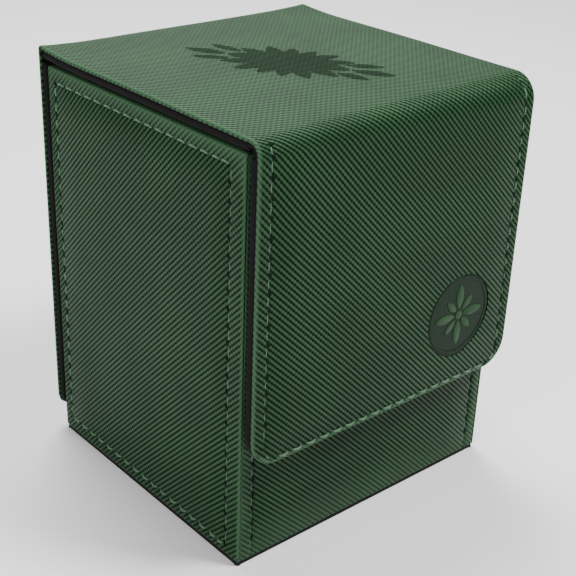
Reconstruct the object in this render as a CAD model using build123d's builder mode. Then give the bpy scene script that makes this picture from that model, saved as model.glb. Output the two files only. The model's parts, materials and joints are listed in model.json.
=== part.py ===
"""Card deck box: a boarded, leatherette-covered box with a wrap-over cover.

The cover runs in one piece up the back, over the top and down the front. It has two
soft folds, which are the joints: one at the top rear edge (lid on the body) and one at
the top front edge (flap on the lid). Magnets in the flap meet magnets in the front wall.

Millimetres. +Z is up, the flap faces -Y and +X is to the right seen from the front.
The origin is the centre of the footprint of the whole closed box, on the ground.
"""

from build123d import *
from math import cos, radians, sin
import os

os.makedirs("parts", exist_ok=True)

# Body, over its panels
body_width = 81.2
body_depth = 74.4
body_height = 100.0

# Body sheets, from outside to inside
panel_skin = 0.8
wall_board = 1.6
tray_lining = 1.2

# Bottom, from the ground up
base_cover_thickness = 1.0
base_board_thickness = 1.6
base_cover_inset = 0.2
tray_rim_rise = 0.6

# Cover, shared by its back, lid and flap
cover_overhang = 0.5
cover_skin = 0.7
lining_inset = 0.4
lining_clearance = 0.3

# Back of the cover
back_board_thickness = 1.0
back_lining_thickness = 1.4
back_lift = 6.0
back_corner_radius = 3.0

# Lid
lid_board_thickness = 1.0
lid_lining_thickness = 1.3
lid_rear_gap = 0.5

# Flap
flap_board_thickness = 1.2
flap_lining_thickness = 1.5
flap_gap = 1.8
flap_length = 74.8
flap_corner_radius = 7.0

# Front fold between lid and flap
fold_radius = 5.0
fold_lining = 1.0
fold_step = 1.0
fold_slit_deg = 1.2

# Closing magnets
magnet_radius = 5.0
flap_magnet_thickness = 1.0
body_magnet_thickness = 1.2
magnet_clearance = 0.1
magnet_spacing = 48.0
magnet_above_flap_end = 11.0

# Round pressed medallion on the flap
badge_radius = 10.5
badge_thickness = 0.25
badge_recess = 0.3
badge_clearance = 0.08
badge_ring_width = 1.0
badge_from_right_edge = 18.9
badge_above_flap_end = 18.8

# Places that follow from the sizes above
flap_thickness = cover_skin + flap_board_thickness + flap_lining_thickness
lid_thickness = cover_skin + lid_board_thickness + lid_lining_thickness
back_thickness = cover_skin + back_board_thickness + back_lining_thickness
front_standoff = flap_gap + flap_thickness
body_y = (front_standoff - back_thickness) / 2
front_face = body_y - body_depth / 2
rear_face = body_y + body_depth / 2
flap_face = front_face - front_standoff
back_face = rear_face + back_thickness

panel_x = body_width / 2
board_x = panel_x - panel_skin
tray_x = board_x - wall_board
inner_x = tray_x - tray_lining
board_front = front_face + panel_skin
tray_front = board_front + wall_board
inner_front = tray_front + tray_lining
tray_rear = rear_face - wall_board
inner_rear = tray_rear - tray_lining

wall_foot = base_cover_thickness
floor_foot = wall_foot + base_board_thickness
inner_floor = floor_foot + tray_lining
rim_top = body_height + tray_rim_rise
board_foot = wall_foot + panel_skin
board_top = body_height - panel_skin

lid_under = rim_top + lining_clearance
lid_top = lid_under + lid_thickness
lid_board_under = lid_under + lid_lining_thickness
lid_skin_under = lid_board_under + lid_board_thickness
lid_rear = back_face - cover_skin - lid_rear_gap
cover_x = panel_x + cover_overhang
cover_board_x = cover_x - cover_skin
cover_lining_x = cover_x - lining_inset

fold_y = flap_face + fold_radius
fold_z = lid_top - fold_radius
fold_skin_radius = fold_radius - cover_skin
fold_inner_radius = fold_skin_radius - fold_lining
flap_skin_back = flap_face + cover_skin
flap_board_back = flap_skin_back + flap_board_thickness
flap_back = flap_board_back + flap_lining_thickness
flap_end = lid_top - flap_length
magnet_z = flap_end + magnet_above_flap_end
badge_x = cover_x - badge_from_right_edge
badge_z = flap_end + badge_above_flap_end


def save(piece, name):
    """Label a finished piece and write it under its node name."""
    piece.part.label = name
    export_step(piece.part, f"parts/{name}.step")


def upright_plane(y):
    """Plane at depth y whose sketch axes are X and Z, with its normal towards the back."""
    return Plane(origin=(0, y, 0), x_dir=(-1, 0, 0), z_dir=(0, 1, 0))


def box_between(low, high):
    """Add a block between two corners to the part being built."""
    width, depth, height = (high[i] - low[i] for i in range(3))
    with BuildSketch(Plane.XY.offset(low[2])) as footprint:
        with Locations(((low[0] + high[0]) / 2, (low[1] + high[1]) / 2)):
            Rectangle(width, depth)
    extrude(footprint.sketch, amount=height)


def side_block(side, x_inner, x_outer, y_range, z_range):
    """Add a block that lies between two distances from the middle, on one side."""
    low_x, high_x = sorted((side * x_inner, side * x_outer))
    box_between((low_x, y_range[0], z_range[0]), (high_x, y_range[1], z_range[1]))


def fold_half(outer_radius, inner_radius, start_deg, end_deg, half_width):
    """Add the part of the front fold between two angles, as a bent sheet."""
    centre = (fold_y, fold_z)
    with BuildSketch(Plane.YZ) as section:
        with BuildLine():
            outer = CenterArc(centre, outer_radius, start_deg, end_deg - start_deg)
            inner = CenterArc(centre, inner_radius, start_deg, end_deg - start_deg)
            Line(outer @ 0, inner @ 0)
            Line(outer @ 1, inner @ 1)
        make_face()
    extrude(section.sketch, amount=half_width, both=True)


def flap_sheet(y_low, y_high, inset, top):
    """Add a sheet with the flap's outline, drawn in by an inset on three edges."""
    half = cover_x - inset
    low_z = flap_end + inset
    with BuildSketch(upright_plane(y_low)) as outline:
        with Locations((0, (low_z + top) / 2)):
            Rectangle(2 * half, top - low_z)
        fillet(outline.vertices().group_by(Axis.Y)[0], flap_corner_radius - inset)
    extrude(outline.sketch, amount=y_high - y_low)


def back_sheet(y_low, y_high, inset, top):
    """Add a sheet with the outline of the cover's back, drawn in by an inset."""
    half = cover_x - inset
    low_z = back_lift + inset
    with BuildSketch(upright_plane(y_low)) as outline:
        with Locations((0, (low_z + top) / 2)):
            Rectangle(2 * half, top - low_z)
        fillet(outline.vertices().group_by(Axis.Y)[0], back_corner_radius - inset)
    extrude(outline.sketch, amount=y_high - y_low)


# Bottom of the body: a black cover sheet under a board, set in from the panels
with BuildPart() as base_cover:
    base_x = panel_x - base_cover_inset
    box_between(
        (-base_x, front_face + base_cover_inset, 0),
        (base_x, rear_face - base_cover_inset, base_cover_thickness),
    )
    fillet(base_cover.edges().filter_by(Axis.Z), panel_skin)
save(base_cover, "base_cover")

with BuildPart() as base_board:
    box_between((-tray_x, tray_front, wall_foot), (tray_x, tray_rear, floor_foot))
save(base_board, "base_board")

# Wall boards; the front one is drilled from its outer face for the closing magnets
with BuildPart() as front_board:
    box_between((-tray_x, board_front, board_foot), (tray_x, tray_front, board_top))
    with BuildSketch(upright_plane(board_front)):
        with Locations((0, magnet_z)):
            with GridLocations(magnet_spacing, 1, 2, 1):
                Circle(magnet_radius + magnet_clearance)
    extrude(amount=body_magnet_thickness + magnet_clearance, mode=Mode.SUBTRACT)
save(front_board, "front_board")

with BuildPart() as rear_board:
    box_between((-tray_x, tray_rear, wall_foot), (tray_x, rear_face, body_height))
save(rear_board, "rear_board")

for side, hand in ((-1, "left"), (1, "right")):
    with BuildPart() as side_board:
        side_block(
            side,
            tray_x,
            board_x,
            (board_front, rear_face - panel_skin),
            (board_foot, board_top),
        )
    save(side_board, f"{hand}_board")

    # The side skin turns in over the board's top and bottom edges and round its rear edge
    with BuildPart() as side_skin:
        side_block(side, board_x, panel_x, (front_face, rear_face), (wall_foot, body_height))
        fillet(
            side_skin.faces().sort_by(Axis.X)[0 if side < 0 else -1].edges(),
            panel_skin * 0.6,
        )
        side_block(side, tray_x, board_x, (board_front, rear_face), (board_top, body_height))
        side_block(side, tray_x, board_x, (board_front, rear_face), (wall_foot, board_foot))
        side_block(
            side,
            tray_x,
            board_x,
            (rear_face - panel_skin, rear_face),
            (wall_foot, body_height),
        )
    save(side_skin, f"{hand}_side_skin")

    with BuildPart() as side_lining:
        side_block(side, inner_x, tray_x, (tray_front, tray_rear), (inner_floor, rim_top))
    save(side_lining, f"tray_{hand}_lining")

# The front skin stands between the side skins and turns in over and under its board
with BuildPart() as front_skin:
    box_between((-board_x, front_face, wall_foot), (board_x, board_front, body_height))
    box_between((-tray_x, board_front, board_top), (tray_x, tray_front, body_height))
    box_between((-tray_x, board_front, wall_foot), (tray_x, tray_front, board_foot))
save(front_skin, "front_skin")

# Black lining boards of the card space
with BuildPart() as tray_floor:
    box_between((-tray_x, tray_front, floor_foot), (tray_x, tray_rear, inner_floor))
save(tray_floor, "tray_floor")

with BuildPart() as tray_front_lining:
    box_between((-inner_x, tray_front, inner_floor), (inner_x, inner_front, rim_top))
save(tray_front_lining, "tray_front_lining")

with BuildPart() as tray_rear_lining:
    box_between((-inner_x, inner_rear, inner_floor), (inner_x, tray_rear, rim_top))
save(tray_rear_lining, "tray_rear_lining")

with BuildPart() as body_magnets:
    with BuildSketch(upright_plane(board_front)):
        with Locations((0, magnet_z)):
            with GridLocations(magnet_spacing, 1, 2, 1):
                Circle(magnet_radius)
    extrude(amount=body_magnet_thickness)
save(body_magnets, "body_magnets")

# Back of the cover, glued to the rear board; its skin runs on up to the hinge fold
with BuildPart() as cover_back_lining:
    back_sheet(rear_face, rear_face + back_lining_thickness, lining_inset, body_height)
save(cover_back_lining, "cover_back_lining")

with BuildPart() as cover_back_board:
    back_sheet(
        rear_face + back_lining_thickness,
        back_face - cover_skin,
        cover_skin,
        body_height,
    )
save(cover_back_board, "cover_back_board")

with BuildPart() as cover_back_skin:
    back_sheet(rear_face + back_lining_thickness, back_face, 0, body_height)
    with BuildSketch(upright_plane(rear_face + back_lining_thickness)) as hollow:
        with Locations((0, (back_lift + cover_skin + body_height) / 2)):
            Rectangle(2 * cover_board_x, body_height - back_lift - cover_skin)
        fillet(hollow.vertices().group_by(Axis.Y)[0], back_corner_radius - cover_skin)
    extrude(amount=back_board_thickness, mode=Mode.SUBTRACT)
    box_between((-cover_x, back_face - cover_skin, body_height), (cover_x, back_face, lid_top))
save(cover_back_skin, "cover_back_skin")

# Lid: board wrapped by the skin on its sides and rear end, lining pad underneath
with BuildPart() as lid_board:
    box_between(
        (-cover_board_x, fold_y + fold_step, lid_board_under),
        (cover_board_x, lid_rear - cover_skin, lid_skin_under),
    )
save(lid_board, "lid_board")

with BuildPart() as lid_skin:
    box_between((-cover_x, fold_y, lid_board_under), (cover_x, lid_rear, lid_top))
    with BuildSketch(Plane.XY.offset(lid_board_under)):
        with Locations((0, (fold_y + lid_rear - cover_skin) / 2)):
            Rectangle(2 * cover_board_x, lid_rear - cover_skin - fold_y)
    extrude(amount=lid_board_thickness, mode=Mode.SUBTRACT)
    fold_half(fold_radius, fold_skin_radius, 90, 135 - fold_slit_deg, cover_x)
save(lid_skin, "lid_skin")

with BuildPart() as lid_lining:
    box_between(
        (-cover_lining_x, fold_y, lid_under),
        (cover_lining_x, lid_rear - lining_inset, lid_board_under),
    )
    box_between(
        (-cover_board_x, fold_y, lid_board_under),
        (cover_board_x, fold_y + fold_step, lid_skin_under),
    )
    fold_half(fold_skin_radius, fold_inner_radius, 90, 135 - fold_slit_deg, cover_board_x)
save(lid_lining, "lid_lining")

# Flap: the same three layers, hanging from the fold
with BuildPart() as flap_board:
    flap_sheet(flap_skin_back, flap_board_back, cover_skin, fold_z - fold_step)
    with BuildSketch(upright_plane(flap_board_back)):
        with Locations((0, magnet_z)):
            with GridLocations(magnet_spacing, 1, 2, 1):
                Circle(magnet_radius + magnet_clearance)
    extrude(amount=-(flap_magnet_thickness + magnet_clearance), mode=Mode.SUBTRACT)
save(flap_board, "flap_board")

with BuildPart() as flap_magnets:
    with BuildSketch(upright_plane(flap_board_back)):
        with Locations((0, magnet_z)):
            with GridLocations(magnet_spacing, 1, 2, 1):
                Circle(magnet_radius)
    extrude(amount=-flap_magnet_thickness)
save(flap_magnets, "flap_magnets")

with BuildPart() as flap_skin:
    flap_sheet(flap_face, flap_board_back, 0, fold_z)
    with BuildSketch(upright_plane(flap_skin_back)) as hollow:
        with Locations((0, (flap_end + cover_skin + fold_z) / 2)):
            Rectangle(2 * cover_board_x, fold_z - flap_end - cover_skin)
        fillet(hollow.vertices().group_by(Axis.Y)[0], flap_corner_radius - cover_skin)
    extrude(amount=flap_board_thickness, mode=Mode.SUBTRACT)
    fold_half(fold_radius, fold_skin_radius, 135 + fold_slit_deg, 180, cover_x)
    with BuildSketch(upright_plane(flap_face)):
        with Locations((-badge_x, badge_z)):
            Circle(badge_radius + badge_clearance)
    extrude(amount=badge_recess, mode=Mode.SUBTRACT)
save(flap_skin, "flap_skin")

with BuildPart() as flap_lining:
    flap_sheet(flap_board_back, flap_back, lining_inset, fold_z)
    box_between(
        (-cover_board_x, flap_skin_back, fold_z - fold_step),
        (cover_board_x, flap_board_back, fold_z),
    )
    fold_half(fold_skin_radius, fold_inner_radius, 135 + fold_slit_deg, 180, cover_board_x)
save(flap_lining, "flap_lining")

# Medallion: a thin disc pressed into the flap's skin, with a raised rim
with BuildPart() as flap_badge:
    with BuildSketch(upright_plane(flap_face + badge_recess)):
        with Locations((-badge_x, badge_z)):
            Circle(badge_radius)
    extrude(amount=-badge_thickness)
    with BuildSketch(upright_plane(flap_face + badge_recess - badge_thickness)):
        with Locations((-badge_x, badge_z)):
            Circle(badge_radius - badge_ring_width)
    extrude(amount=badge_thickness / 2, mode=Mode.SUBTRACT)
save(flap_badge, "flap_badge")

# The two fold lines, which the record's joints use
fold_line_y = fold_y - fold_radius * cos(radians(45))
fold_line_z = fold_z + fold_radius * sin(radians(45))
print(f"whole box {2 * cover_x:.2f} x {back_face - flap_face:.2f} x {lid_top:.2f}")
print(f"card space {2 * inner_x:.2f} x {inner_rear - inner_front:.2f} x {rim_top - inner_floor:.2f}")
print(f"lid_hinge axis y {back_face:.3f} z {lid_top:.3f}")
print(f"flap_fold axis y {fold_line_y:.3f} z {fold_line_z:.3f}")
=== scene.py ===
"""Card deck box: leatherette, linings, sewing and pressed marks around the CAD frame.

Each covering is cut and sewn flat, as on the bench, and then laid round the box:
along a covering u runs across it, v up or along it, and h is the height above its face.
Lengths are metres. The flap faces -Y and the box stands on Z = 0.
"""

import json
from math import atan2, cos, hypot, pi, radians, sin

import bmesh
import bpy
import numpy as np
from mathutils import Euler, Matrix, Vector


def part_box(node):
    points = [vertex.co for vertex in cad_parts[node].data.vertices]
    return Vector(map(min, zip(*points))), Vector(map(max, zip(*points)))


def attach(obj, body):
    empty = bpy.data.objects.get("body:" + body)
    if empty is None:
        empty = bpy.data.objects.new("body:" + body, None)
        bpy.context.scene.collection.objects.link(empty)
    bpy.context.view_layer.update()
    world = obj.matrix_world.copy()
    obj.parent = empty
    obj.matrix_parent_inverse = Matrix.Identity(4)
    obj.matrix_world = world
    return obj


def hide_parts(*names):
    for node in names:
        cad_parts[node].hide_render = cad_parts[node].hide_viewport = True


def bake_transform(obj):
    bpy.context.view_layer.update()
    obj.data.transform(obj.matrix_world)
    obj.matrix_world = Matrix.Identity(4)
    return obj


bl_info = {
    "name": "Card deck box",
    "version": (1, 0, 0),
    "blender": (4, 5, 0),
    "location": "View3D > Sidebar > Deck box",
    "description": "Leatherette, linings and sewing of a card deck box",
    "category": "Object",
}

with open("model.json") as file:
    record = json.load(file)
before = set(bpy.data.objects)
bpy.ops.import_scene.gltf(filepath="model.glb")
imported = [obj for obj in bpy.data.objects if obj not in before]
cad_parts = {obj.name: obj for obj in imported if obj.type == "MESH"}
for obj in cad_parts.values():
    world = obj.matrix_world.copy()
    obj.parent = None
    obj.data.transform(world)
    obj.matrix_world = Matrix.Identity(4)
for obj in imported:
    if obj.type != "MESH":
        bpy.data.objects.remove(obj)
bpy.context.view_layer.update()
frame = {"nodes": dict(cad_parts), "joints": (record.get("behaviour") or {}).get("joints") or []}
MM = 0.001
CLEAR = 0.05 * MM


# ---------------------------------------------------------------- places in the frame

SIDE_LOW, SIDE_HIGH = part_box("left_side_skin")
FRONT_LOW, FRONT_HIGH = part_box("front_skin")
PANEL_X = -SIDE_LOW.x
FRONT_FACE = SIDE_LOW.y
REAR_FACE = SIDE_HIGH.y
PANEL_FOOT = SIDE_LOW.z
PANEL_TOP = SIDE_HIGH.z
PANEL_DEPTH = SIDE_HIGH.x - SIDE_LOW.x
PANEL_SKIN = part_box("left_board")[0].x - SIDE_LOW.x

COVER_X, LID_REAR, LID_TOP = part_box("lid_skin")[1]
COVER_SKIN = LID_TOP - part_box("lid_board")[1].z
FLAP_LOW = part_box("flap_skin")[0]
FLAP_FACE, FLAP_END = FLAP_LOW.y, FLAP_LOW.z
BACK_LOW, BACK_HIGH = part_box("cover_back_skin")
BACK_FACE, BACK_END = BACK_HIGH.y, BACK_LOW.z

JOINTS = {joint["name"]: joint for joint in frame["joints"]}
FOLD_LINE = Vector(JOINTS["flap_fold"]["pos_m"])
FOLD_RADIUS = (FOLD_LINE.y - FLAP_FACE) / (1 - cos(pi / 4))
FOLD_Y = FLAP_FACE + FOLD_RADIUS
FOLD_Z = LID_TOP - FOLD_RADIUS

FLAP_RUN = FOLD_Z - FLAP_END
FOLD_RUN = FOLD_RADIUS * pi / 2
LID_RUN = LID_REAR - FOLD_Y
COVER_RUN = FLAP_RUN + FOLD_RUN + LID_RUN

HINGE_RADIUS = BACK_FACE - LID_REAR
BACK_RUN = LID_TOP - HINGE_RADIUS - BACK_END
HINGE_RUN = HINGE_RADIUS * pi / 2

BADGE_LOW, BADGE_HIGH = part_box("flap_badge")
BADGE_RADIUS = (BADGE_HIGH.x - BADGE_LOW.x) / 2
BADGE_U = (BADGE_LOW.x + BADGE_HIGH.x) / 2
BADGE_V = (BADGE_LOW.z + BADGE_HIGH.z) / 2 - FLAP_END
BADGE_RECESS = BADGE_HIGH.y - FLAP_FACE


# ---------------------------------------------------------------- sizes and colours

# Widths of the lighter band along turned edges, rubbing and a painted highlight; the wider one is
# a painted highlight along a flat panel's top rim.
EDGE_WEAR_AND_HIGHLIGHT = 0.6 * MM
RIM_HIGHLIGHT_BAND = 1.4 * MM
LINING_GAP = 0.3 * MM
SHARP = radians(40)
SHADED_SHARP = radians(35)


def length(name, description, millimetres):
    """A length that a user can change."""
    return bpy.props.FloatProperty(
        name=name,
        description=description,
        default=millimetres * MM,
        unit="LENGTH",
        precision=5,
    )


def colour(name, description, rgb):
    """A colour that a user can change, in linear values."""
    return bpy.props.FloatVectorProperty(
        name=name,
        description=description,
        default=(*rgb, 1.0),
        size=4,
        min=0.0,
        max=1.0,
        subtype="COLOR",
    )


class DeckBoxSizes(bpy.types.PropertyGroup):
    """Sizes of the sewing and of the leatherette's edges."""

    seam_inset: length("Seam inset", "Usual distance of the sewing from an edge", 3.4)
    side_seam_front: length("Side seam, front", "Side seam to the panel's front edge", 4.8)
    side_seam_top: length("Side seam, top", "Side seam to the panel's upper edge", 3.6)
    side_seam_foot_rear: length("Side seam, rear foot", "Side seam's height at the rear", 4.2)
    side_seam_foot_front: length("Side seam, front foot", "Side seam's height at the front", 2.6)
    flap_seam_foot: length("Flap seam, end", "Flap seam to the flap's lower edge", 1.5)
    back_seam: length("Back seam", "Seam of the back to its edges", 2.9)
    seam_half: length("Seam half width", "Half the width of the channel that sewing pulls in", 0.5)
    seam_depth: length("Seam depth", "Depth of the channel that the sewing pulls in", 0.22)
    edge_round: length("Edge rounding", "Rounding of a turned edge", 0.5)
    edge_fall: length("Edge fall", "How far the face falls away outside the seam", 0.12)
    hem: length("Hem", "Thickness of the cover's turned edge", 1.0)
    pad_inset: length("Lining inset", "How far the lining stays inside the turned edge", 0.3)
    panel_corner: length("Back corner radius", "Radius of the lower corners of the back", 3.0)
    flap_corner: length("Flap corner radius", "Radius of the lower corners of the flap", 7.0)
    stitch_pitch: length("Stitch pitch", "Distance from one needle hole to the next", 4.0)
    stitch_length: length("Stitch length", "Length of thread that shows", 3.1)
    stitch_bow: length("Stitch bow", "How far a stitch bows off its line", 0.5)
    thread_width: length("Thread width", "Width of the sewing thread", 0.68)
    hole_length: length("Needle hole", "Length of a needle hole", 1.6)
    weave_pitch: length("Weave pitch", "Distance between two ribs of the leatherette", 1.05)
    weave_relief: length("Weave relief", "Height of the ribs", 0.17)
    unevenness: length("Unevenness", "Gentle waves in the glued coverings", 0.06)
    fold_left: length("Fold, left", "Radius of the front fold at its left end", 3.4)
    fold_right: length("Fold, right", "Radius of the front fold at its right end", 6.2)
    corner_lift: length("Hem lift", "Rise of the lid's rear corners over their turned hems", 0.7)
    ornament_length: length("Ornament length", "Length of the print on the lid", 52.0)
    ornament_width: length("Ornament width", "Width of the print on the lid", 24.0)


class DeckBoxColours(bpy.types.PropertyGroup):
    """Colours of the box's finishes."""

    rib: colour("Rib", "Top of the leatherette's ribs", (0.018, 0.058, 0.022))
    # The dark colour between the ribs is painted shade in the grooves.
    groove_shade: colour("Groove", "Between the ribs", (0.0020, 0.0100, 0.0029))
    # Lighter leatherette along turned edges: rubbing and a painted highlight where the rounded
    # edge catches light.
    edge: colour("Edge", "Leatherette along a turned edge", (0.052, 0.115, 0.060))
    thread: colour("Thread", "Sewing thread", (0.100, 0.188, 0.113))
    lining: colour("Lining", "Short-napped lining", (0.0032, 0.0026, 0.0029))
    base: colour("Base", "Sheet under the box", (0.006, 0.005, 0.005))
    board: colour("Board", "Raw grey board", (0.30, 0.29, 0.26))
    nickel: colour("Nickel", "Plating of the magnets", (0.60, 0.58, 0.54))
    mark: colour("Pressed mark", "Dark ground of the round mark", (0.0014, 0.0085, 0.0026))
    relief: colour("Raised mark", "Raised leaves of the round mark", (0.010, 0.032, 0.012))
    ink: colour("Ink", "Print on the lid", (0.0045, 0.016, 0.0058))
    paper: colour("Rear paper", "Black paper on the rear board", (0.006, 0.006, 0.006))
    floor: colour("Floor", "Floor of the stage", (0.63, 0.63, 0.63))


def sizes():
    return bpy.context.scene.deck_box_sizes


def colours():
    return bpy.context.scene.deck_box_colours


# ---------------------------------------------------------------- coverings


class Covering:
    """A sheet laid flat: u across, v along and h out of its face.

    Two class values give how deep the band at the low v with a painted highlight is, and
    how far in from the edge at the high v the lighter band of rubbing and painted highlight
    reaches.
    """

    corner_radius = 0.0
    seams = None
    foot_highlight_band = 0.0
    rim_wear_and_highlight = EDGE_WEAR_AND_HIGHLIGHT


class FlatCovering(Covering):
    """A covering on a flat panel: where its u, v and h axes lie in the box."""

    # A flat panel's top rim gets a wider band of painted highlight.
    rim_wear_and_highlight = RIM_HIGHLIGHT_BAND

    def __init__(self, corner, u_axis, v_axis, width, run):
        self.corner = Vector(corner)
        self.u_axis = Vector(u_axis)
        self.v_axis = Vector(v_axis)
        self.normal = self.u_axis.cross(self.v_axis)
        self.u_range = (0.0, width)
        self.v_range = (0.0, run)

    def place(self, u, v, h):
        return self.corner + self.u_axis * u + self.v_axis * v + self.normal * h


class CoverTop(Covering):
    """The cover's flap, front fold and lid: v runs from the flap's end to the lid's rear."""

    u_range = (-COVER_X, COVER_X)
    v_range = (0.0, COVER_RUN)
    # The flap's lower edge gets a band of painted highlight, this deep.
    foot_highlight_band = 2.9 * MM

    @property
    def corner_radius(self):
        return sizes().flap_corner

    @property
    def seams(self):
        """Distances of the seam from the left, the right, both ends of the foot and the top."""
        size = sizes()
        side = size.seam_inset
        return (side, side, size.flap_seam_foot, size.flap_seam_foot, side)

    def place(self, u, v, h):
        radius = fold_radius(u)
        slack = FOLD_RADIUS - radius
        slack_run = 20 * MM
        if v < FLAP_RUN:
            v += slack * smooth(1 - (FLAP_RUN - v) / slack_run)
            return Vector((u, FLAP_FACE - h, FLAP_END + v))
        if v < FLAP_RUN + FOLD_RUN:
            angle = (v - FLAP_RUN) / FOLD_RADIUS
            y = FLAP_FACE + radius - (radius + h) * cos(angle)
            z = LID_TOP - radius + (radius + h) * sin(angle)
            return Vector((u, y, z))
        y = FOLD_Y + v - FLAP_RUN - FOLD_RUN
        y -= slack * smooth(1 - (y - FOLD_Y) / slack_run)
        return Vector((u, y, LID_TOP + h + hem_lift(u, y)))


class CoverBack(Covering):
    """The cover's back and hinge fold: v runs from its lower end over the hinge."""

    u_range = (-COVER_X, COVER_X)
    v_range = (0.0, BACK_RUN + HINGE_RUN)

    @property
    def corner_radius(self):
        return sizes().panel_corner

    def place(self, u, v, h):
        if v < BACK_RUN:
            lifted_run = 8 * MM
            fade = max(0.0, 1 - (BACK_RUN - v) / lifted_run)
            return Vector((-u, BACK_FACE + h, BACK_END + v + fade * hem_lift(u, BACK_FACE)))
        angle = (v - BACK_RUN) / HINGE_RADIUS
        reach = HINGE_RADIUS + h
        y = BACK_FACE - HINGE_RADIUS + reach * cos(angle)
        z = LID_TOP - HINGE_RADIUS + reach * sin(angle)
        return Vector((-u, y, z + hem_lift(u, BACK_FACE)))


def fold_radius(u):
    """Radius of the front fold, which is creased more tightly at its left end."""
    size = sizes()
    return size.fold_left + (size.fold_right - size.fold_left) * (u + COVER_X) / (2 * COVER_X)


def hem_lift(x, y):
    """How far the turned hems raise the cover near the lid's rear corners."""
    lifted_run = 14 * MM
    near_rear = min(1.0, max(0.0, 1 - (LID_REAR - y) / lifted_run))
    return sizes().corner_lift * (abs(x) / COVER_X) ** 8 * near_rear**2


COVER_TOP = CoverTop()
COVER_BACK = CoverBack()


def side_covering(side):
    """The covering of a side panel; side is -1 for the left one and 1 for the right one."""
    size = sizes()
    corner = (side * PANEL_X, FRONT_FACE if side > 0 else REAR_FACE, PANEL_FOOT)
    covering = FlatCovering(
        corner,
        (0, side, 0),
        (0, 0, 1),
        REAR_FACE - FRONT_FACE,
        PANEL_TOP - PANEL_FOOT,
    )
    rear = (size.seam_inset, size.side_seam_foot_rear)
    front = (size.side_seam_front, size.side_seam_foot_front)
    start, end = (rear, front) if side < 0 else (front, rear)
    covering.seams = (start[0], end[0], start[1], end[1], size.side_seam_top)
    return covering


def front_covering():
    """The covering of the front panel."""
    return FlatCovering(
        (FRONT_LOW.x, FRONT_FACE, PANEL_FOOT),
        (1, 0, 0),
        (0, 0, 1),
        FRONT_HIGH.x - FRONT_LOW.x,
        PANEL_TOP - PANEL_FOOT,
    )


def edge_distance(covering, u, v):
    """Distance from a covering's outline, whose corners at the low v may be rounded."""
    u_range, v_range, radius = covering.u_range, covering.v_range, covering.corner_radius
    centre_u = min(max(u, u_range[0] + radius), u_range[1] - radius)
    centre_v = v_range[0] + radius
    if radius and v < centre_v and abs(centre_u - u) > 1e-9:
        return radius - hypot(u - centre_u, v - centre_v)
    return min(u - u_range[0], u_range[1] - u, v - v_range[0], v_range[1] - v)


def smooth(value):
    """Rises gently from 0 at 0 to 1 at 1."""
    value = min(1.0, max(0.0, value))
    return value * value * (3 - 2 * value)


def seam_place(covering, u, v):
    """Moves the evenly inset seam to where it really runs along each edge."""
    if covering.seams is None:
        return u, v
    left, right, foot_start, foot_end, top = covering.seams
    inset = sizes().seam_inset
    (low_u, high_u), (low_v, high_v) = covering.u_range, covering.v_range
    share = (u - low_u) / (high_u - low_u)
    foot = foot_start + (foot_end - foot_start) * share
    fixed_rim = 1.0 * MM
    outer_run = inset - 1.8 * MM
    inner_end, inner_run = 7 * MM, 6 * MM
    inside = smooth((edge_distance(covering, u, v) - fixed_rim) / outer_run)

    def near(distance):
        return inside * smooth((inset + inner_end - distance) / inner_run)

    new_u = u + (left - inset) * near(u - low_u) - (right - inset) * near(high_u - u)
    new_v = v + (foot - inset) * near(v - low_v) - (top - inset) * near(high_v - v)
    return new_u, new_v


# ---------------------------------------------------------------- modelling steps


def deselect():
    """Leaves nothing selected, in object mode."""
    if bpy.context.mode != "OBJECT":
        bpy.ops.object.mode_set(mode="OBJECT")
    bpy.ops.object.select_all(action="DESELECT")


def take(piece):
    """Makes one object the only selected and active one."""
    deselect()
    piece.select_set(True)
    bpy.context.view_layer.objects.active = piece


def named(name):
    """Names the active object and its mesh."""
    piece = bpy.context.active_object
    piece.name = name
    piece.data.name = name
    return piece


def settle(piece):
    """Moves an object's place, turn and scale into its mesh."""
    take(piece)
    bpy.ops.object.transform_apply(location=True, rotation=True, scale=True)
    return piece


def add_plane(name, u_range, v_range):
    """A flat rectangle at height 0."""
    deselect()
    middle = (sum(u_range) / 2, sum(v_range) / 2, 0)
    bpy.ops.mesh.primitive_plane_add(size=1, location=middle)
    piece = named(name)
    piece.scale = (u_range[1] - u_range[0], v_range[1] - v_range[0], 1)
    return settle(piece)


def add_block(name, low, high):
    """A block between two corners, ready to be shaped."""
    deselect()
    middle = (Vector(low) + Vector(high)) / 2
    bpy.ops.mesh.primitive_cube_add(size=1, location=middle)
    piece = named(name)
    piece.scale = Vector(high) - Vector(low)
    return settle(piece)


def edit(piece):
    take(piece)
    bpy.ops.object.mode_set(mode="EDIT")


def leave_edit():
    bpy.ops.object.mode_set(mode="OBJECT")


def choose(kind, test):
    """In edit mode, selects just the vertices, edges or faces that pass a test."""
    bpy.ops.mesh.select_mode(type=kind)
    bpy.ops.mesh.select_all(action="DESELECT")
    mesh = bpy.context.edit_object.data
    shape = bmesh.from_edit_mesh(mesh)
    items = {"VERT": shape.verts, "EDGE": shape.edges, "FACE": shape.faces}[kind]
    for item in items:
        item.select_set(test(item))
    shape.select_flush_mode()
    bmesh.update_edit_mesh(mesh)


def edge_middle(edge):
    return (edge.verts[0].co + edge.verts[1].co) / 2


def on_line(axis, value):
    """Test for edges that lie along one line of a flat covering, at its face."""

    def test(edge):
        ends = [vert.co[axis] for vert in edge.verts]
        flat = all(abs(vert.co.z) < CLEAR for vert in edge.verts)
        return flat and all(abs(end - value) < CLEAR for end in ends)

    return test


def round_corners(piece, v, radius):
    """Rounds the two corners of a flat rectangle that lie at one v."""
    edit(piece)
    choose("VERT", lambda vert: abs(vert.co.y - v) < CLEAR)
    bpy.ops.mesh.bevel(
        offset=radius,
        offset_type="OFFSET",
        segments=8,
        profile=0.5,
        affect="VERTICES",
    )
    leave_edit()


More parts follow.
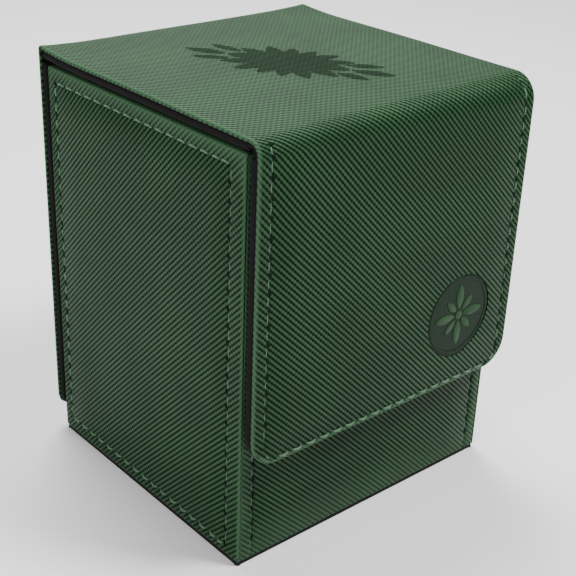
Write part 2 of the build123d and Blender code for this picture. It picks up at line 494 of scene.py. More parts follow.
def add_modifier(piece, kind, **settings):
    """Adds a modifier and applies it."""
    take(piece)
    modifier = piece.modifiers.new(kind.lower(), kind)
    for key, value in settings.items():
        setattr(modifier, key, value)
    bpy.ops.object.modifier_apply(modifier=modifier.name)


def thicken(piece, thickness):
    """Gives a sheet its thickness, below its face."""
    add_modifier(
        piece,
        "SOLIDIFY",
        thickness=thickness,
        offset=-1.0,
        use_even_offset=True,
        use_quality_normals=True,
    )


def soften(piece, width, segments=3):
    """Rounds every sharp edge."""
    add_modifier(
        piece,
        "BEVEL",
        width=width,
        segments=segments,
        limit_method="ANGLE",
        angle_limit=SHARP,
        use_clamp_overlap=True,
    )


def turn_edges(piece, lines, depth):
    """Turns edges of a flat sheet down by a depth; each line is (axis, value)."""
    for axis, value in lines:
        edit(piece)
        choose("EDGE", on_line(axis, value))
        bpy.ops.mesh.extrude_region_move(TRANSFORM_OT_translate={"value": (0, 0, -depth)})
        leave_edit()
    edit(piece)
    bpy.ops.mesh.select_all(action="SELECT")
    bpy.ops.mesh.remove_doubles(threshold=0.01 * MM)
    leave_edit()


def is_face_up(face):
    """True for a face that is part of the covering's outside."""
    return face.normal.z > 0.99 and abs(face.calc_center_median().z) < CLEAR


def sew_channel(piece, inset):
    """Insets the face to where the sewing runs, pulls a channel in and crowns the rest."""
    size = sizes()
    level_rim = 0.5 * MM
    rise_run = inset - size.seam_half - size.edge_round - level_rim
    edit(piece)
    choose("FACE", is_face_up)
    bpy.ops.mesh.inset(thickness=level_rim, depth=0)
    bpy.ops.mesh.inset(thickness=rise_run, depth=size.edge_fall)
    for width, rise in ((0.8, -0.9), (0.2, -0.1), (0.2, 0.1), (0.8, 0.9)):
        bpy.ops.mesh.inset(thickness=size.seam_half * width, depth=size.seam_depth * rise)
    leave_edit()


def sew_upright_channels(piece, width):
    """Pulls in two upright channels, as on a panel that is sewn along its sides only."""
    size = sizes()
    for u in (size.seam_inset, width - size.seam_inset):
        for step in (-1.0, -0.2, 0.2, 1.0):
            cut(piece, 0, u + step * size.seam_half)
        edit(piece)
        choose(
            "VERT",
            lambda vert: abs(vert.co.x - u) < size.seam_half * 0.5 and abs(vert.co.z) < CLEAR,
        )
        bpy.ops.transform.translate(value=(0, 0, -size.seam_depth))
        leave_edit()


def cut(piece, axis, value):
    """Cuts a flat covering right through at one u (axis 0) or v (axis 1)."""
    edit(piece)
    bpy.ops.mesh.select_all(action="SELECT")
    at = [0.0, 0.0, 0.0]
    at[axis] = value
    facing = [0.0, 0.0, 0.0]
    facing[axis] = 1.0
    bpy.ops.mesh.bisect(plane_co=at, plane_no=facing, threshold=0.001 * MM)
    leave_edit()


def cut_evenly(piece, axis, start, end, step):
    """Cuts a covering at even distances, so that it can follow a bend or lie unevenly."""
    count = max(1, round((end - start) / step))
    for i in range(count + 1):
        cut(piece, axis, start + (end - start) * i / count)


def hollow(piece, upwards, hem, depth):
    """Hollows one face of a slab for the board that it wraps, leaving a hem round it."""
    turn = 1 if upwards else -1
    edit(piece)
    choose("FACE", lambda face: face.normal.z * turn > 0.99)
    bpy.ops.mesh.inset(thickness=hem, depth=0)
    bpy.ops.mesh.extrude_region_move(TRANSFORM_OT_translate={"value": (0, 0, -turn * depth)})
    leave_edit()


def vertex_places(piece):
    """The places of a mesh's vertices, one row each."""
    places = np.zeros(len(piece.data.vertices) * 3)
    piece.data.vertices.foreach_get("co", places)
    return places.reshape(-1, 3)


def put_vertices(piece, places):
    piece.data.vertices.foreach_set("co", np.asarray(places, dtype=float).ravel())
    piece.data.update()


def mark_leatherette(piece, covering, weave_turn=1):
    """Writes the weave's UV map and, while it is flat, where it is turned (rubbed, with a painted
    highlight) or pulled in (painted shade).
    """
    size = sizes()
    foot_highlight = 0.75
    turned_band, seam_band = 0.9 * MM, 1.2 * MM
    u_range, v_range = covering.u_range, covering.v_range
    middle_u, middle_v = sum(u_range) / 2, sum(v_range) / 2
    places = vertex_places(piece)
    edge = np.zeros(len(places), np.float32)
    seam = np.zeros(len(places), np.float32)
    flat = np.zeros((len(places), 2))
    for i, (u, v, h) in enumerate(places):
        inside = edge_distance(covering, u, v)
        # Lighter band along the edges: rubbing and a painted highlight, wider at the high v rim of
        # a flat panel.
        wear_and_highlight_band = covering.rim_wear_and_highlight if inside > v_range[1] - v - CLEAR else EDGE_WEAR_AND_HIGHLIGHT
        edge[i] = max(0.0, 1 - max(0.0, inside) / wear_and_highlight_band)
        # Painted highlight in the band along the low v, used for the flap's lower edge.
        if v - v_range[0] < covering.foot_highlight_band:
            edge[i] = max(edge[i], foot_highlight)
        # The painted highlight fades down the side of a turned edge.
        edge[i] *= 1 - smooth(-h / size.hem)
        # Painted shade in the channel that the sewing pulls in.
        if inside > seam_band and h > -2 * size.seam_depth:
            seam[i] = smooth((-h - size.edge_fall * 0.4) / (size.seam_depth * 0.5))
        u, v = seam_place(covering, u, v)
        if inside < turned_band:
            near_u = min(u - u_range[0], u_range[1] - u) < min(v - v_range[0], v_range[1] - v)
            if near_u:
                u += -h if u > middle_u else h
            else:
                v += -h if v > middle_v else h
        flat[i] = (u * weave_turn, v)
    for name, values in (("edge", edge), ("seam", seam)):
        layer = piece.data.attributes.new(name, "FLOAT", "POINT")
        layer.data.foreach_set("value", values)
    loops = np.zeros(len(piece.data.loops), np.int32)
    piece.data.loops.foreach_get("vertex_index", loops)
    uv_layer = piece.data.uv_layers.new(name="weave")
    uv_layer.data.foreach_set("uv", flat[loops].astype(np.float32).ravel())


def swell(u, v):
    """Broad, irregular waves of a glued sheet, between -1.5 and 1.5."""
    return sin(u * 83 + 0.6) * cos(v * 71 + 1.1) + 0.5 * sin(u * 151 + v * 127)


def lay(piece, covering, sink=0.0, uneven=True):
    """Lays a flat piece on its covering's place on the box, sunk by a depth."""
    wave = sizes().unevenness if uneven else 0.0
    placed = []
    for u, v, h in vertex_places(piece):
        u, v = seam_place(covering, u, v)
        placed.append(covering.place(u, v, h - sink + wave * swell(u, v)))
    put_vertices(piece, placed)


def coat(piece, finish):
    """Gives a piece one finish in place of any that it has."""
    piece.data.materials.clear()
    piece.data.materials.append(finish)


def finish_piece(piece, finish):
    """Turns a piece's faces outwards, shades it smooth by angle and gives it its finish."""
    edit(piece)
    bpy.ops.mesh.select_all(action="SELECT")
    bpy.ops.mesh.normals_make_consistent(inside=False)
    leave_edit()
    bpy.ops.object.shade_smooth_by_angle(angle=SHADED_SHARP)
    coat(piece, finish)
    deselect()


def join(pieces, name):
    """Joins objects into one named piece."""
    deselect()
    for piece in pieces:
        piece.select_set(True)
    bpy.context.view_layer.objects.active = pieces[0]
    bpy.ops.object.join()
    return named(name)


# ---------------------------------------------------------------- finishes


class Finish:
    """A node material under construction."""

    def __init__(self, name, roughness, **constants):
        self.material = bpy.data.materials.new(name)
        self.material.use_nodes = True
        self.tree = self.material.node_tree
        self.shader = self.tree.nodes["Principled BSDF"]
        self.shader.inputs["Roughness"].default_value = roughness
        for socket, value in constants.items():
            self.shader.inputs[socket.replace("_", " ")].default_value = value

    def node(self, kind, inputs=(), **settings):
        made = self.tree.nodes.new(kind)
        for key, value in settings.items():
            setattr(made, key, value)
        for key, value in dict(inputs).items():
            if isinstance(value, bpy.types.NodeSocket):
                self.tree.links.new(value, made.inputs[key])
            else:
                made.inputs[key].default_value = value
        return made

    def math(self, operation, first, second=0.0, third=0.0):
        values = {0: first, 1: second, 2: third}
        return self.node("ShaderNodeMath", values, operation=operation).outputs[0]

    def object_place(self):
        return self.node("ShaderNodeTexCoord").outputs["Object"]

    def noise(self, scale, detail=2.0, place=None):
        place = place or self.object_place()
        inputs = {"Vector": place, "Scale": scale, "Detail": detail}
        return self.node("ShaderNodeTexNoise", inputs).outputs["Fac"]

    def ramp(self, factor, low, high):
        inputs = {"Value": factor, "From Min": low, "From Max": high}
        made = self.node("ShaderNodeMapRange", inputs, interpolation_type="SMOOTHSTEP")
        return made.outputs["Result"]

    def mix(self, factor, first, second):
        made = self.node("ShaderNodeMix", {"Factor": factor}, data_type="RGBA")
        for key, value in (("A", first), ("B", second)):
            socket = next(s for s in made.inputs if s.name == key and s.type == "RGBA")
            if isinstance(value, bpy.types.NodeSocket):
                self.tree.links.new(value, socket)
            else:
                socket.default_value = value
        return next(s for s in made.outputs if s.type == "RGBA")

    def bump(self, height, distance, strength=1.0, under=None):
        inputs = {"Height": height, "Distance": distance, "Strength": strength}
        if under is not None:
            inputs["Normal"] = under
        return self.node("ShaderNodeBump", inputs).outputs["Normal"]

    def connect(self, socket, value):
        self.tree.links.new(value, self.shader.inputs[socket])


def toned(tone, factor, lift=0.0):
    """A colour made lighter or darker."""
    return tuple(min(1.0, c * factor + lift) for c in tone[:3]) + (1.0,)


def weave_height(finish, pitch):
    """Height from 0 to 1 of two crossed sets of ribs, of which the first stands out more."""
    lean = 0.115
    place = finish.node("ShaderNodeUVMap", uv_map="weave").outputs["UV"]
    split = finish.node("ShaderNodeSeparateXYZ", {"Vector": place})
    u, v = split.outputs[0], split.outputs[1]
    turns = 2 * pi / (pitch * 2**0.5)
    waves = []
    for operation in ("SUBTRACT", "ADD"):
        across = finish.math(operation, u, v)
        waves.append(finish.math("COSINE", finish.math("MULTIPLY", across, turns)))
    first = finish.math("MULTIPLY_ADD", waves[0], 0.25 + lean, 0.5)
    return finish.math("MULTIPLY_ADD", waves[1], 0.25 - lean, first)


def leatherette(name, rib, groove_shade, edge, shine=0.12):
    """Cross-ribbed leatherette: painted shade in the grooves, rubbed edges with a painted
    highlight, and painted shade in the seams.
    """
    size = sizes()
    finish = Finish(name, 0.5)
    height = weave_height(finish, size.weave_pitch)
    patches = finish.noise(scale=55.0, detail=3.0)
    grain = finish.noise(scale=2600.0)
    # Mask of the lighter edges: rubbing and a painted highlight.
    turned = finish.node("ShaderNodeAttribute", attribute_name="edge").outputs["Fac"]
    # Mask of the painted shade in the seams.
    seam = finish.node("ShaderNodeAttribute", attribute_name="seam").outputs["Fac"]
    ribs = finish.ramp(height, 0.28, 0.66)
    top = finish.mix(finish.ramp(patches, 0.35, 0.65), toned(rib, 0.80), rib)
    # Between the ribs the colour takes the painted shade of the grooves.
    cloth = finish.mix(ribs, groove_shade, top)
    # Lighter edge colour: rubbing and a painted highlight; the same mask also flattens the ribs.
    rubbed_and_highlit = finish.math("MULTIPLY", turned, 0.8)
    rubbed_and_highlit_colour = finish.mix(rubbed_and_highlit, cloth, edge)
    # Painted shade in the seam channels.
    dark = finish.math("MULTIPLY", seam, 0.6)
    finish.connect("Base Color", finish.mix(dark, rubbed_and_highlit_colour, groove_shade))
    finish.connect("Specular IOR Level", finish.math("MULTIPLY_ADD", ribs, shine, 0.2 * shine))
    kept = finish.math("SUBTRACT", 1.0, rubbed_and_highlit)
    ribbed = finish.bump(finish.math("MULTIPLY", height, kept), size.weave_relief)
    finish.connect("Normal", finish.bump(grain, 0.02 * MM, 0.6, ribbed))
    return finish.material


def microfibre(name, tone):
    """Short-napped lining cloth."""
    finish = Finish(name, 0.8, Specular_IOR_Level=0.08, Sheen_Weight=0.02, Sheen_Roughness=0.4)
    finish.shader.inputs["Sheen Tint"].default_value = (0.75, 0.62, 0.70, 1.0)
    nap = finish.noise(scale=3200.0, detail=3.0)
    brushed = finish.noise(scale=160.0)
    pile = finish.mix(finish.ramp(nap, 0.35, 0.75), tone, toned(tone, 2.4))
    finish.connect("Base Color", finish.mix(finish.math("MULTIPLY", brushed, 0.4), pile, tone))
    finish.connect("Normal", finish.bump(nap, 0.12 * MM, 0.8))
    return finish.material


def grained(name, tone, roughness, scale, relief):
    """Fine-grained plain sheet, such as the base or a pressed mark."""
    finish = Finish(name, roughness, Specular_IOR_Level=0.07)
    place = finish.object_place()
    cells = finish.node("ShaderNodeTexVoronoi", {"Vector": place, "Scale": scale})
    grain = finish.ramp(cells.outputs["Distance"], 0.0, 0.5)
    light = toned(tone, 1.9, 0.004)
    finish.connect("Base Color", finish.mix(finish.math("MULTIPLY", grain, 0.6), tone, light))
    finish.connect("Normal", finish.bump(grain, relief, 0.7))
    return finish.material


def grey_board(name, tone):
    """Pressed recycled board with darker flecks."""
    finish = Finish(name, 0.9)
    fibres = finish.noise(scale=420.0, detail=6.0)
    flecks = finish.ramp(finish.noise(scale=1500.0, detail=1.0), 0.62, 0.72)
    dark = toned(tone, 0.6)
    pulp = finish.mix(finish.ramp(fibres, 0.3, 0.7), dark, tone)
    finish.connect("Base Color", finish.mix(finish.math("MULTIPLY", flecks, 0.6), pulp, dark))
    finish.connect("Normal", finish.bump(fibres, 0.05 * MM, 0.6))
    return finish.material


def nickel(name, tone):
    """Nickel plating with faint turning marks."""
    finish = Finish(name, 0.28, Metallic=1.0)
    marks = finish.noise(scale=900.0, detail=4.0)
    shade = finish.mix(finish.ramp(marks, 0.3, 0.7), toned(tone, 0.8), tone)
    finish.connect("Base Color", shade)
    finish.connect("Roughness", finish.math("MULTIPLY_ADD", marks, 0.2, 0.2))
    return finish.material


def sewing_thread(name, tone):
    """Twisted thread: fine slanted plies along each stitch."""
    finish = Finish(name, 0.55, Specular_IOR_Level=0.2)
    place = finish.object_place()
    waves = {"Vector": place, "Scale": 900.0, "Distortion": 1.5}
    plies = finish.node("ShaderNodeTexWave", waves, bands_direction="DIAGONAL")
    twist = plies.outputs["Fac"]
    finish.connect("Base Color", finish.mix(twist, toned(tone, 0.5), tone))
    finish.connect("Normal", finish.bump(twist, 0.06 * MM, 0.7))
    return finish.material


def studio_floor(name, tone):
    """Plain pale floor with a barely visible mottle."""
    finish = Finish(name, 0.7, Specular_IOR_Level=0.2, Emission_Strength=0.1)
    finish.shader.inputs["Emission Color"].default_value = (1, 1, 1, 1)
    mottle = finish.noise(scale=6.0)
    finish.connect("Base Color", finish.mix(mottle, tone, toned(tone, 1.02)))
    return finish.material


def made_once(make, name, *values):
    """A finish that several pieces share, made when the first of them asks for it."""
    return bpy.data.materials.get(name) or make(name, *values)


def green_skin():
    """The leatherette of every green covering."""
    shade = colours()
    tones = tuple(shade.rib), tuple(shade.groove_shade), tuple(shade.edge)
    return made_once(leatherette, "ribbed leatherette", *tones)


def black_lining():
    """The lining cloth of the tray and the cover."""
    return made_once(microfibre, "black microfibre", tuple(colours().lining))


def green_thread():
    """The thread of every seam."""
    return made_once(sewing_thread, "green thread", tuple(colours().thread))


def needle_hole_shade():
    """Painted shade for the dark inside of every needle hole."""
    tone = toned(colours().groove_shade, 0.5)
    return made_once(grained, "needle holes", tone, 0.9, 3000.0, 0.02 * MM)


# ---------------------------------------------------------------- sewing


def stitch_shape():
    """One stitch: a thin bead of thread that bows a little and dives in at both ends."""
    size = sizes()
    deselect()
    bpy.ops.mesh.primitive_uv_sphere_add(segments=8, ring_count=7, radius=0.5)
    stitch = named("stitch")
    stitch.rotation_euler = Euler((0, pi / 2, 0))
    settle(stitch)
    stitch.scale = (size.stitch_length, size.thread_width, size.thread_width * 0.8)
    settle(stitch)
    places = vertex_places(stitch)
    half = size.stitch_length / 2
    for row in places:
        share = (row[0] / half) ** 2
        row[1] += size.stitch_bow * (1 - share)
        row[2] -= size.thread_width * 0.55 * share**2
    put_vertices(stitch, places)
    return stitch


def hole_shape():
    """One needle hole: a shallow dark pit of painted shade that the thread slants into."""
    size = sizes()
    deselect()
    bpy.ops.mesh.primitive_uv_sphere_add(segments=8, ring_count=5, radius=0.5)
    hole = named("needle_hole")
    hole.scale = (size.hole_length, size.hole_length * 0.55, size.hole_length * 0.12)
    hole.rotation_euler = Euler((0, 0, radians(35)))
    return settle(hole)


def straight(start, end):
    """Evenly spaced (u, v, direction, pitch) for each stitch of a straight run."""
    run = hypot(end[0] - start[0], end[1] - start[1])
    count = max(1, round(run / sizes().stitch_pitch))
    direction = atan2(end[1] - start[1], end[0] - start[0])
    spots = []
    for i in range(count):
        share = (i + 0.5) / count
        u = start[0] + (end[0] - start[0]) * share
        v = start[1] + (end[1] - start[1]) * share
        spots.append((u, v, direction, run / count))
    return spots


def round_corner(centre, radius, start_angle, end_angle):
    """Stitches round a corner of a seam."""
    run = radius * abs(end_angle - start_angle)
    count = max(1, round(run / sizes().stitch_pitch))
    turn = pi / 2 if end_angle > start_angle else -pi / 2
    spots = []
    for i in range(count):
        angle = start_angle + (end_angle - start_angle) * (i + 0.5) / count
        u = centre[0] + radius * cos(angle)
        v = centre[1] + radius * sin(angle)
        spots.append((u, v, angle + turn, run / count))
    return spots


def sewn_round(left, right, foot, top):
    """Stitches all round a rectangle, from its lower right corner."""
    corners = ((right, foot), (left, foot), (left, top), (right, top))
    spots = []
    for start, end in zip(corners, corners[1:] + corners[:1]):
        spots += straight(start, end)
    return spots


def copy_to_seam(master, covering, spot, shift, depth):
    """Copies a stitch or a hole to a spot of a seam, shifted along it and sunk by a depth."""
    u, v, direction, _ = spot
    copy = master.copy()
    copy.data = master.data.copy()
    bpy.context.collection.objects.link(copy)
    placed = []
    for along, across, up in vertex_places(master):
        reach = along + shift
        at_u = u + reach * cos(direction) - across * sin(direction)
        at_v = v + reach * sin(direction) + across * cos(direction)
        at_u, at_v = seam_place(covering, at_u, at_v)
        placed.append(covering.place(at_u, at_v, up - depth))
    put_vertices(copy, placed)
    return copy


def sew(name, covering, spots):
    """Sews every spot of a seam; only upright runs are pulled deep and show needle holes."""
    depth = sizes().seam_depth
    stitch, hole = stitch_shape(), hole_shape()
    coat(stitch, green_thread())
    coat(hole, needle_hole_shade())
    copies = []
    for spot in spots:
        _, _, direction, pitch = spot
        upright = abs(sin(direction)) > 0.5
        sink = depth * (1.25 if upright else 0.3)
        copies.append(copy_to_seam(stitch, covering, spot, 0.0, sink))
        if upright:
            # Each needle hole is a dark pit of painted shade.
            copies.append(copy_to_seam(hole, covering, spot, pitch / 2, depth * 0.25))
    for master in (stitch, hole):
        bpy.data.objects.remove(master)
    seam = join(copies, name)
    bpy.ops.object.shade_smooth()
    deselect()
    return seam


# ---------------------------------------------------------------- pieces


def boards_and_magnets():
    """Gives the carried-over boards and magnets their finishes."""
    shade = colours()
    board = grey_board("grey board", tuple(shade.board))
    paper = grained("black paper", tuple(shade.paper), 0.7, 900.0, 0.03 * MM)
    plating = nickel("nickel plating", tuple(shade.nickel))
    for name, node in frame["nodes"].items():
        if name.endswith("board") or name.endswith("magnets"):
            finish = plating if name.endswith("magnets") else board
            coat(node, paper if name == "rear_board" else finish)


def base_sheet():
    """The black sheet under the box, its corners and lower edge rounded."""
    low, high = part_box("base_cover")
    corner, lower_edge, foot_rim = 0.8 * MM, 0.25 * MM, 4 * MM
    piece = add_block("base_sheet", low, high)
    edit(piece)
    choose("EDGE", lambda edge: abs(edge.verts[0].co.z - edge.verts[1].co.z) > CLEAR)
    bpy.ops.mesh.bevel(offset=corner, segments=4, affect="EDGES")
    choose("FACE", lambda face: face.normal.z < -0.99)
    bpy.ops.mesh.inset(thickness=foot_rim, depth=0)
    leave_edit()
    soften(piece, lower_edge, 2)
    base = grained("black base sheet", tuple(colours().base), 0.55, 1300.0, 0.05 * MM)
    finish_piece(piece, base)
    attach(piece, "body")
    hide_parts("base_cover")


def tray_panel(node, rim):
    """One lined board of the card tray, with a soft rim where its top shows."""
    low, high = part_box(node)
    rim_round, floor_rim, floor_slope, floor_sink = 0.45 * MM, 1.2 * MM, 1.5 * MM, 0.1 * MM
    piece = add_block(node.replace("tray", "lined"), low, high)
    edit(piece)
    if rim:
        choose("EDGE", lambda edge: abs(edge_middle(edge).z - high.z) < CLEAR)
        bpy.ops.mesh.bevel(offset=rim_round, segments=4, affect="EDGES")
    else:
        choose("FACE", lambda face: face.normal.z > 0.99)
        bpy.ops.mesh.inset(thickness=floor_rim, depth=0)
        bpy.ops.mesh.inset(thickness=floor_slope, depth=-floor_sink)
    leave_edit()
    for axis, step in ((0, 9 * MM), (1, 9 * MM), (2, 12 * MM)):
        if high[axis] - low[axis] > step:
            cut_evenly(piece, axis, low[axis] + step, high[axis] - step, step)
    ripple_block(piece, low, high)
    finish_piece(piece, black_lining())
    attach(piece, "body")
    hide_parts(node)


def ripple_block(piece, low, high):
    """Lets the lining cloth lie a little unevenly, without leaving its block."""
    thin = min(range(3), key=lambda axis: high[axis] - low[axis])
    flat = [axis for axis in range(3) if axis != thin]
    middle = (low[thin] + high[thin]) / 2
    deepest = 0.10
    places = vertex_places(piece)
    for row in places:
        wave = 0.5 + 0.5 * sin(row[flat[0]] * 210) * cos(row[flat[1]] * 170)
        row[thin] += (middle - row[thin]) * deepest * wave
    put_vertices(piece, places)


def panel_skin(name, covering, turned):
    """A flat leatherette panel whose turned edges go round its board."""
    piece = add_plane(name, covering.u_range, covering.v_range)
    turn_edges(piece, turned, PANEL_DEPTH)
    thicken(piece, PANEL_SKIN)
    soften(piece, sizes().edge_round)
    return piece


def cut_panel(piece, covering):
    """Cuts a panel into a grid inside its seams, fine enough to lie a little unevenly."""
    margin, step = 11 * MM, 8 * MM
    for axis, (low, high) in enumerate((covering.u_range, covering.v_range)):
        cut_evenly(piece, axis, low + margin, high - margin, step)


def side_panel(side, hand):
    """A side panel: its seam runs all the way round and sits lower along the foot."""
    size = sizes()
    covering = side_covering(side)
    width, run = covering.u_range[1], covering.v_range[1]
    rear_u = 0.0 if side < 0 else width
    piece = panel_skin(f"{hand}_panel_skin", covering, [(1, 0.0), (1, run), (0, rear_u)])
    sew_channel(piece, size.seam_inset)
    cut_panel(piece, covering)
    mark_leatherette(piece, covering, -side)
    lay(piece, covering, sink=size.edge_fall)
    finish_piece(piece, green_skin())
    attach(piece, "body")
    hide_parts(f"{hand}_side_skin")

    inset = size.seam_inset
    spots = sewn_round(inset, width - inset, inset, run - inset)
    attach(sew(f"{hand}_panel_stitching", covering, spots), "body")


def front_panel():
    """The front panel, sewn along its two upright sides only."""
    size = sizes()
    covering = front_covering()
    width, run = covering.u_range[1], covering.v_range[1]
    piece = panel_skin("front_panel_skin", covering, [(1, 0.0), (1, run)])
    sew_upright_channels(piece, width)
    cut_panel(piece, covering)
    mark_leatherette(piece, covering, -1)
    lay(piece, covering)
    finish_piece(piece, green_skin())
    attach(piece, "body")
    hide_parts("front_skin")

    end_gap = 1.5 * MM
    spots = []
    for u in (size.seam_inset, width - size.seam_inset):
        spots += straight((u, end_gap), (u, run - end_gap))
    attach(sew("front_panel_stitching", covering, spots), "body")


def cover_slab(name, covering, inset, rounded):
    """A flat, hemmed and sewn sheet of the cover, hollowed for its board."""
    hem = sizes().hem
    rounding = 0.42 * hem
    piece = add_plane(name, covering.u_range, covering.v_range)
    if rounded:
        round_corners(piece, covering.v_range[0], covering.corner_radius)
    thicken(piece, hem)
    soften(piece, rounding, 4)
    sew_channel(piece, inset)
    hollow(piece, False, COVER_SKIN - rounding, hem - COVER_SKIN)
    return piece


def cover_top_skin():
    """Flap, front fold and lid in one sheet, which bends where the flap folds."""
    size = sizes()
    covering = COVER_TOP
    piece = cover_slab("cover_top_skin", covering, size.seam_inset, rounded=True)
    press_badge_seat(piece)
    fold_end = FLAP_RUN + FOLD_RUN
    cut_evenly(piece, 1, FLAP_RUN, fold_end, 1.0 * MM)
    cut_evenly(piece, 1, 12 * MM, FLAP_RUN - 6 * MM, 8 * MM)
    cut_evenly(piece, 1, fold_end + 6 * MM, COVER_RUN - 16 * MM, 9 * MM)
    cut_evenly(piece, 1, COVER_RUN - 12 * MM, COVER_RUN - 3 * MM, 3 * MM)
    cut_evenly(piece, 0, -30 * MM, 30 * MM, 7.5 * MM)
    end_seam_at_fold(piece)
    mark_leatherette(piece, covering, -1)
    lay(piece, covering, sink=size.edge_fall)
    finish_piece(piece, green_skin())
    bend_with_flap(piece)
    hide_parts("lid_skin", "flap_skin")


def end_seam_at_fold(piece):
    """Fills the channel along the lid, which is glued and not sewn."""
    size = sizes()
    edge_band, fading_run = 1.2 * MM, 3 * MM
    places = vertex_places(piece)
    for row in places:
        filled = smooth((row[1] - FLAP_RUN - 0.6 * FOLD_RUN) / fading_run)
        if -2 * size.seam_depth < row[2] < size.edge_fall:
            if edge_distance(COVER_TOP, row[0], row[1]) > edge_band:
                row[2] += (size.edge_fall - row[2]) * filled
    put_vertices(piece, places)


def press_badge_seat(piece):
    """Presses the round seat of the mark into the flap's face."""
    play = 0.1 * MM
    deselect()
    bpy.ops.mesh.primitive_cylinder_add(
        vertices=96,
        radius=BADGE_RADIUS + play,
        depth=2 * BADGE_RECESS,
        location=(BADGE_U, BADGE_V, sizes().edge_fall),
    )
    cutter = settle(named("badge_seat_cutter"))
    add_modifier(piece, "BOOLEAN", operation="DIFFERENCE", solver="EXACT", object=cutter)
    bpy.data.objects.remove(cutter)


def bend_with_flap(piece):
    """Moves a piece's placement into its mesh."""
    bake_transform(piece)


def cover_back_skin():
    """The cover's back, hemmed on three sides, and the hinge fold above it."""
    size = sizes()
    covering = COVER_BACK
    piece = cover_slab("cover_back_leather", covering, size.back_seam, rounded=False)
    round_lower_corners(piece, covering)
    thin_hinge(piece)
    cut_evenly(piece, 1, BACK_RUN, BACK_RUN + HINGE_RUN, 0.3 * MM)
    cut_evenly(piece, 1, 10 * MM, BACK_RUN - 8 * MM, 8 * MM)
    cut_evenly(piece, 0, -30 * MM, 30 * MM, 7.5 * MM)
    mark_leatherette(piece, covering, -1)
    lay(piece, covering, sink=size.edge_fall)
    finish_piece(piece, green_skin())
    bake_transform(piece)
    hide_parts("cover_back_skin")


def round_lower_corners(piece, covering):
    """Draws the square lower corners in to an arc; the sewn channel stays square inside."""
    radius = covering.corner_radius
    part_way = 0.4 * radius
    (low_u, high_u), (low_v, _) = covering.u_range, covering.v_range
    for cut_at in (low_u + radius, low_u + part_way, high_u - part_way, high_u - radius):
        cut(piece, 0, cut_at)
    for cut_at in (low_v + part_way, low_v + radius):
        cut(piece, 1, cut_at)
    places = vertex_places(piece)
    for row in places:
        off_u = abs(row[0]) - (high_u - radius)
        off_v = low_v + radius - row[1]
        if off_u > 0 and off_v > 0:
            reach = hypot(off_u, off_v)
            square = max(off_u, off_v)
            pull = smooth(square / radius) * (square / reach - 1) + 1
            row[0] += (pull - 1) * off_u * (1 if row[0] > 0 else -1)
            row[1] -= (pull - 1) * off_v
    put_vertices(piece, places)


def thin_hinge(piece):
    """Cuts the hem away above the board, so that only the skin goes round the hinge."""
    board_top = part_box("cover_back_board")[1].z - BACK_END
    cut(piece, 1, board_top)
    places = vertex_places(piece)
    for row in places:
        if row[1] > board_top + CLEAR and row[2] < -COVER_SKIN:
            row[2] = -COVER_SKIN
    put_vertices(piece, places)


def lining_pad(name, u_half, v_range, top, low, corner=0.0, board=0.0):
    """A lined pad, still flat, from one depth to another, hollowed round its board."""
    rounding, rim, step = min(0.6 * MM, 0.45 * (low - top)), 0.3 * MM, 8 * MM
    piece = add_plane(name, (-u_half, u_half), v_range)
    if corner:
        round_corners(piece, v_range[0], corner)
    thicken(piece, low - top)
    soften(piece, rounding, 4)
    if board:
        hollow(piece, True, rim, board)
    places = vertex_places(piece)
    places[:, 2] -= top
    put_vertices(piece, places)
    cut_evenly(piece, 1, v_range[0] + step, v_range[1] - step, step)
    return piece


def finish_lining(piece, covering, node, body):
    """Lays a lining pad in place of its CAD node."""
    lay(piece, covering, uneven=False)
    finish_piece(piece, black_lining())
    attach(piece, body)
    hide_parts(node)


def cover_linings():
    """Black linings inside the lid, the front fold, the flap and the back."""
    size = sizes()
    half = COVER_X - size.pad_inset
    lid_v = FLAP_RUN + FOLD_RUN
    hem = size.hem + CLEAR

    lid_board = LID_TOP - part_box("lid_board")[0].z
    lid_low = LID_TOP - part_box("lid_lining")[0].z
    lid_range = (lid_v + LINING_GAP, COVER_RUN - size.pad_inset)
    pad = lining_pad("lid_lining_pad", half, lid_range, hem, lid_low, board=lid_board - hem)
    finish_lining(pad, COVER_TOP, "lid_lining", "lid")

    flap_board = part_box("flap_board")[1].y - FLAP_FACE
    flap_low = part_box("flap_lining")[1].y - FLAP_FACE
    flap_range = (size.pad_inset, FLAP_RUN - LINING_GAP)
    corner = size.flap_corner - size.pad_inset
    pad = lining_pad(
        "flap_lining_pad", half, flap_range, hem, flap_low, corner, flap_board - hem
    )
    finish_lining(pad, COVER_TOP, "flap_lining", "flap")

    overlap, strip_thickness = 1.2 * MM, 1.05 * MM
    fold_range = (FLAP_RUN - overlap, lid_v + overlap)
    strip = lining_pad("fold_lining", half, fold_range, hem, hem + strip_thickness)
    cut_evenly(strip, 1, FLAP_RUN, lid_v, 1.0 * MM)
    lay(strip, COVER_TOP, uneven=False)
    finish_piece(strip, black_lining())
    bend_with_flap(strip)

    back_low, back_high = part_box("cover_back_lining")
    back_board = BACK_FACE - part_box("cover_back_board")[0].y
    back_range = (size.pad_inset, back_high.z - BACK_END)
    depth = BACK_FACE - back_low.y
    corner = size.panel_corner - size.pad_inset
    pad = lining_pad(
        "back_lining_pad", half, back_range, hem, depth, corner, back_board - hem
    )
    finish_lining(pad, COVER_BACK, "cover_back_lining", "body")


